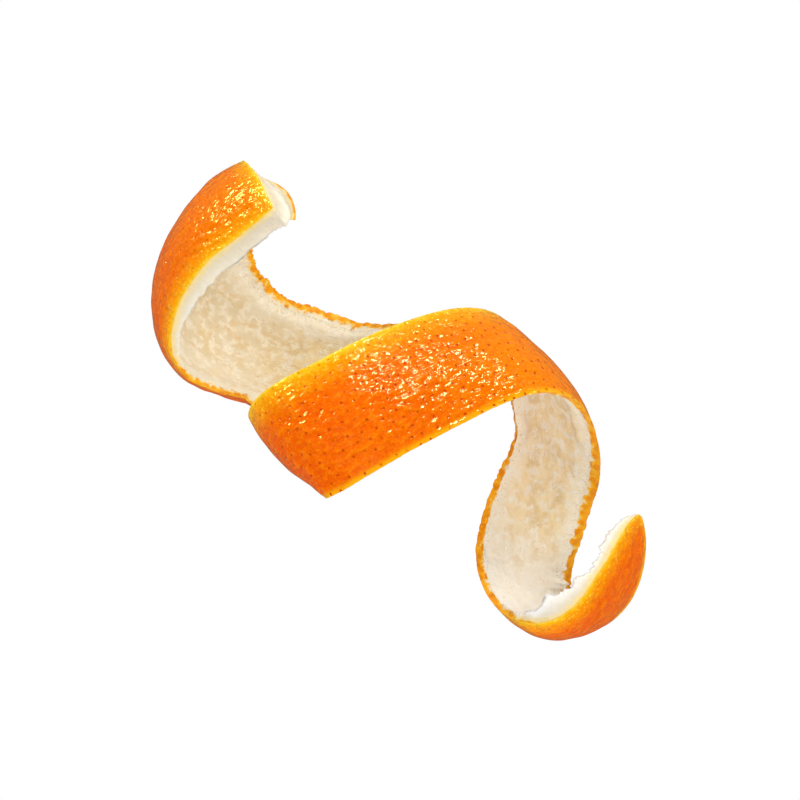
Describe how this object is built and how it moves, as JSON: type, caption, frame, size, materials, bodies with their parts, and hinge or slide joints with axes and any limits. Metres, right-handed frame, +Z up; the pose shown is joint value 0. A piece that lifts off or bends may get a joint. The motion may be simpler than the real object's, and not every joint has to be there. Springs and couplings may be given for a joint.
{
  "type": "orange peel",
  "caption": "Curled spiral strip of orange peel with a broad bowl-shaped end, an arched turn and a pointed hooked tip, lying on its side.",
  "frame": {"origin": "centre of the footprint's bounding box, on the floor the peel rests on", "axes": "+Z up; +X from the broad end's side towards the tip's side; +Y towards the broad end"},
  "size_m": [0.1604, 0.1548, 0.0879],
  "materials": {
    "rind": "waxy, finely pored orange rind outside, matt cream pith inside and on the cut edges"
  },
  "bodies": {
    "root": {"peel": "rind"}
  },
  "joints": []
}
